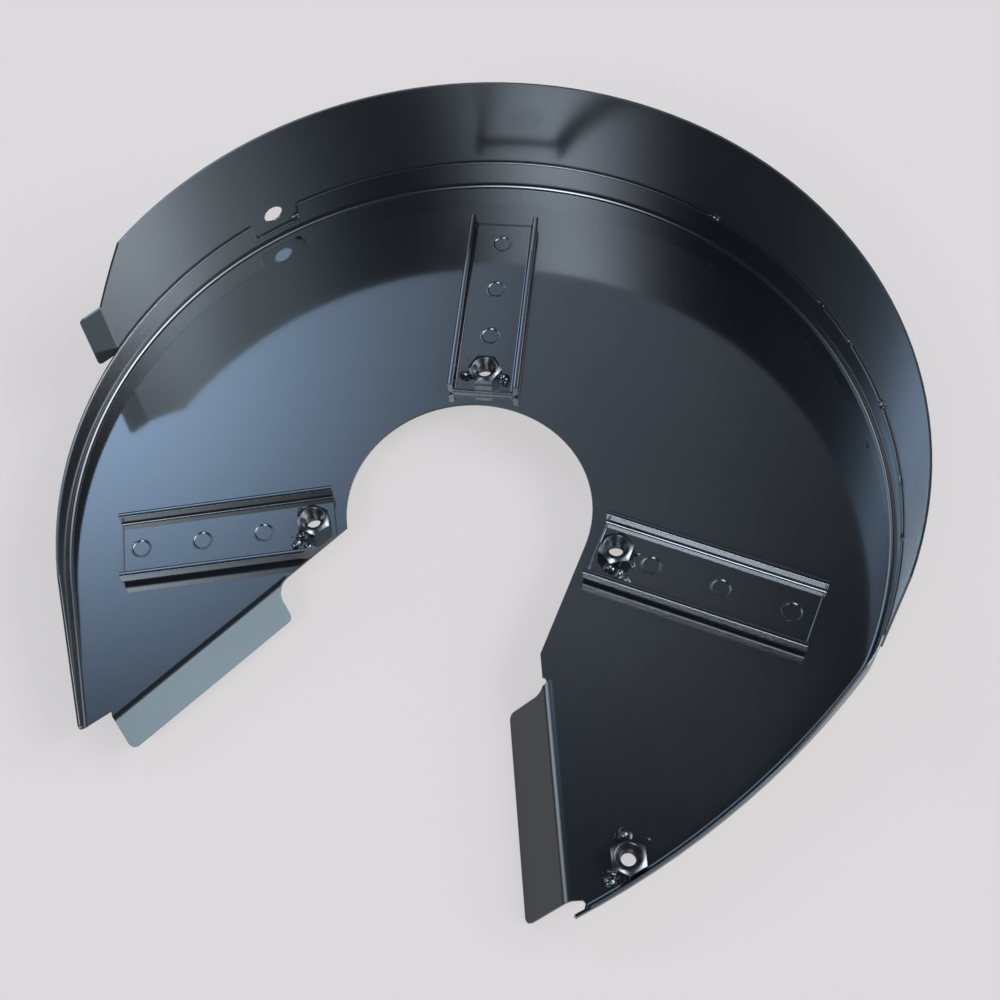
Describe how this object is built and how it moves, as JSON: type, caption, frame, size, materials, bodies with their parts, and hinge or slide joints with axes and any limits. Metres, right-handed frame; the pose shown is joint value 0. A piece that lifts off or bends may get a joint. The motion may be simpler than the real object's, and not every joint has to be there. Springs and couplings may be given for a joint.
{
  "type": "brake dust shield",
  "caption": "Round pressed-steel brake dust shield with a hub hole and an open caliper gap, a tall curved skirt along the rim, channel rails, weld nuts and bent flaps, painted gloss black.",
  "frame": {"origin": "the hub axis at the front face of the pan's floor", "axes": "+Z along the hub axis, towards the skirt's free edge; +Y along the top rail, away from the caliper gap; +X to the right as seen from the front"},
  "size_m": [0.4542, 0.448, 0.1126],
  "materials": {
    "black_paint": "gloss",
    "nut_paint": "gloss",
    "weld_paint": "gloss"
  },
  "bodies": {
    "root": {"shield_plate": "black_paint", "skirt_band": "black_paint", "rail_top": "black_paint", "rail_left": "black_paint", "rail_right": "black_paint", "nut_top": "nut_paint", "nut_left": "nut_paint", "nut_right": "nut_paint", "nut_lower": "nut_paint", "nut_weld_beads": "weld_paint", "band_tack_welds": "weld_paint"}
  },
  "joints": []
}
